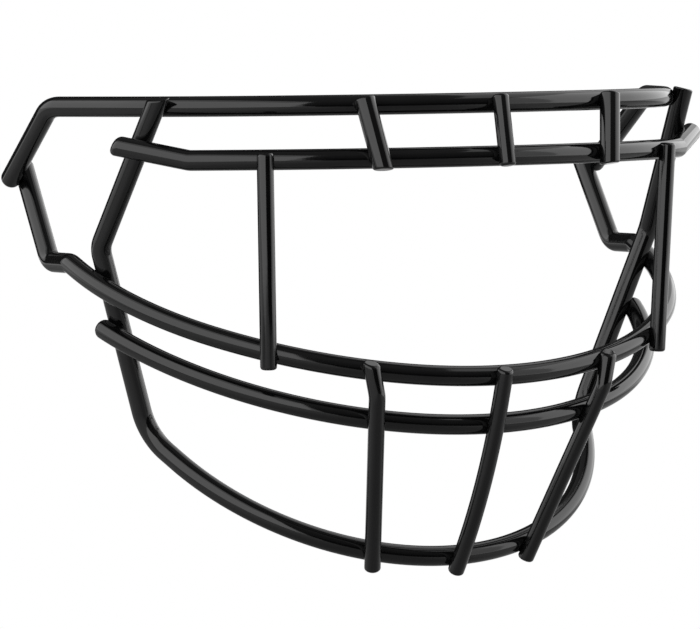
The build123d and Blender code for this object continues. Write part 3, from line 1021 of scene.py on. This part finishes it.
def add_floor(context, studio):
    """A round pale floor that takes the shadow and runs out to white, for the camera before mirrors. Its
    paint is darker along the middle and paler to both sides: painted shade and painted light.
    """
    mesh = bpy.data.meshes.new("floor")
    disc = bmesh.new()
    bmesh.ops.create_circle(disc, cap_ends=True, segments=FLOOR_CORNERS, radius=studio.floor_radius)
    disc.to_mesh(mesh)
    disc.free()
    obj = linked_object(context, "floor", mesh)
    obj.location.z = -studio.floor_drop
    material = bpy.data.materials.new("pale floor")
    tree = emptied(material)
    place = tree.nodes.new("ShaderNodeTexCoord").outputs["Object"]
    out = vectors(tree, "LENGTH", place, result="Value")
    # Painted shade along the floor's middle strip and painted light to both sides, where the softboxes light
    # it more
    across = linked(tree, "ShaderNodeSeparateXYZ", place).outputs["X"]
    aside = maths(tree, "ABSOLUTE", across)
    painted_shade_tone = shades(tree, faded(tree, aside, *PAINTED_SHADE_FADE), studio.floor, studio.floor_painted_lit_sides)
    paint = linked(tree, "ShaderNodeBsdfDiffuse", painted_shade_tone)
    white = linked(tree, "ShaderNodeEmission", WHITE, 1.0)
    far_start, far_end = (studio.floor_radius * part for part in MIRRORED_FADE)
    seen, mirrored = seen_and_mirrored(tree)
    seen = maths(tree, "MULTIPLY", seen, faded(tree, out, *SEEN_FADE, SEEN_WHITE))
    mirrored = maths(tree, "MULTIPLY", mirrored, faded(tree, out, far_start, far_end))
    shown = maths(tree, "MAXIMUM", seen, mirrored)
    mix = linked(tree, "ShaderNodeMixShader", shown, paint.outputs[0], white.outputs[0])
    linked(tree, "ShaderNodeOutputMaterial", mix.outputs[0])
    mesh.materials.append(material)


# ---------------------------------------------------------------- operators


class MakeBrowBars(bpy.types.Operator):
    """Bend the top bar with its legs, and the lower brow bar with its flared ends"""

    bl_idname = "facemask.brow_bars"
    bl_label = "Brow Bars"

    def execute(self, context):
        make_wires(context, "top_bar", "lower_brow_bar")
        return {"FINISHED"}


class MakeMouthBars(bpy.types.Operator):
    """Bend the upper mouth bar with its cheek ends, and the lower mouth bar"""

    bl_idname = "facemask.mouth_bars"
    bl_label = "Mouth Bars"

    def execute(self, context):
        make_wires(context, "upper_mouth_bar", "lower_mouth_bar")
        return {"FINISHED"}


class MakeChinHoop(bpy.types.Operator):
    """Bend the hoop from the top bar down both sides and round under the chin"""

    bl_idname = "facemask.chin_hoop"
    bl_label = "Chin Hoop"

    def execute(self, context):
        make_wires(context, "chin_hoop")
        return {"FINISHED"}


class MakeBrowStruts(bpy.types.Operator):
    """Cut the three short struts between the brow bars"""

    bl_idname = "facemask.brow_struts"
    bl_label = "Brow Struts"

    def execute(self, context):
        make_wires(context, "brow_strut_left", "brow_strut_center", "brow_strut_right")
        return {"FINISHED"}


class MakeEyeUprights(bpy.types.Operator):
    """Cut the two straight uprights beside the eyes"""

    bl_idname = "facemask.eye_uprights"
    bl_label = "Eye Uprights"

    def execute(self, context):
        make_wires(context, "eye_vertical_left", "eye_vertical_right")
        return {"FINISHED"}


class MakeMouthUprights(bpy.types.Operator):
    """Bend the three uprights over the mouth bars and the chin hoop"""

    bl_idname = "facemask.mouth_uprights"
    bl_label = "Mouth Uprights"

    def execute(self, context):
        make_wires(context, "mouth_vertical_left", "mouth_vertical_center", "mouth_vertical_right")
        return {"FINISHED"}


class FinishWelds(bpy.types.Operator):
    """Give the weld metal inside the joints its bare steel finish"""

    bl_idname = "facemask.welds"
    bl_label = "Welds"

    def execute(self, context):
        welds = [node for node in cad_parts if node.startswith(WELD_PREFIX)]
        if not welds:
            raise RuntimeError("the packed model has no weld")
        steel = weld_metal(context.scene.facemask.finishes)
        for name in welds:
            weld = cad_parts[name]
            weld.data.materials.clear()
            weld.data.materials.append(steel)
        return {"FINISHED"}


class SetStudio(bpy.types.Operator):
    """Set up the floor, the white surround, the softboxes, the dark glowing sheets that only mirrors see as
    painted reflections, and the camera
    """

    bl_idname = "facemask.studio"
    bl_label = "Studio"

    def execute(self, context):
        studio = context.scene.facemask.studio
        context.scene.view_settings.view_transform = "Standard"
        set_world(context, studio)
        add_floor(context, studio)
        add_mirror_glows(context, studio)
        add_softboxes(context, studio)
        add_camera(context)
        return {"FINISHED"}


OPERATORS = (
    MakeBrowBars,
    MakeMouthBars,
    MakeChinHoop,
    MakeBrowStruts,
    MakeEyeUprights,
    MakeMouthUprights,
    FinishWelds,
    SetStudio,
)


class FacemaskPanel(bpy.types.Panel):
    """Sizes, finishes and steps of the facemask"""

    bl_idname = "VIEW3D_PT_facemask"
    bl_label = "Facemask"
    bl_space_type = "VIEW_3D"
    bl_region_type = "UI"
    bl_category = "Facemask"

    def draw(self, context):
        layout = self.layout
        mask = context.scene.facemask
        for operator in OPERATORS:
            layout.operator(operator.bl_idname)
        for name in mask.__annotations__:
            group = getattr(mask, name)
            box = layout.box()
            box.label(text=name.capitalize())
            for entry in group.__annotations__:
                box.prop(group, entry)


SETTINGS = (WireStock, BrowSizes, MouthSizes, ChinSizes, Finishes, Studio, Facemask)
CLASSES = (*SETTINGS, *OPERATORS, FacemaskPanel)


def register():
    for made in CLASSES:
        bpy.utils.register_class(made)
    bpy.types.Scene.facemask = PointerProperty(type=Facemask)


def unregister():
    del bpy.types.Scene.facemask
    for made in reversed(CLASSES):
        bpy.utils.unregister_class(made)


def corners(box):
    """A box's lowest and highest corner as plain numbers."""
    return [[float(value) for value in corner] for corner in box]


def main():
    register()
    bpy.ops.facemask.studio()
    bpy.ops.facemask.brow_bars()
    bpy.ops.facemask.mouth_bars()
    bpy.ops.facemask.chin_hoop()
    bpy.ops.facemask.brow_struts()
    bpy.ops.facemask.eye_uprights()
    bpy.ops.facemask.mouth_uprights()
    bpy.ops.facemask.welds()


if __name__ == "__main__":
    main()
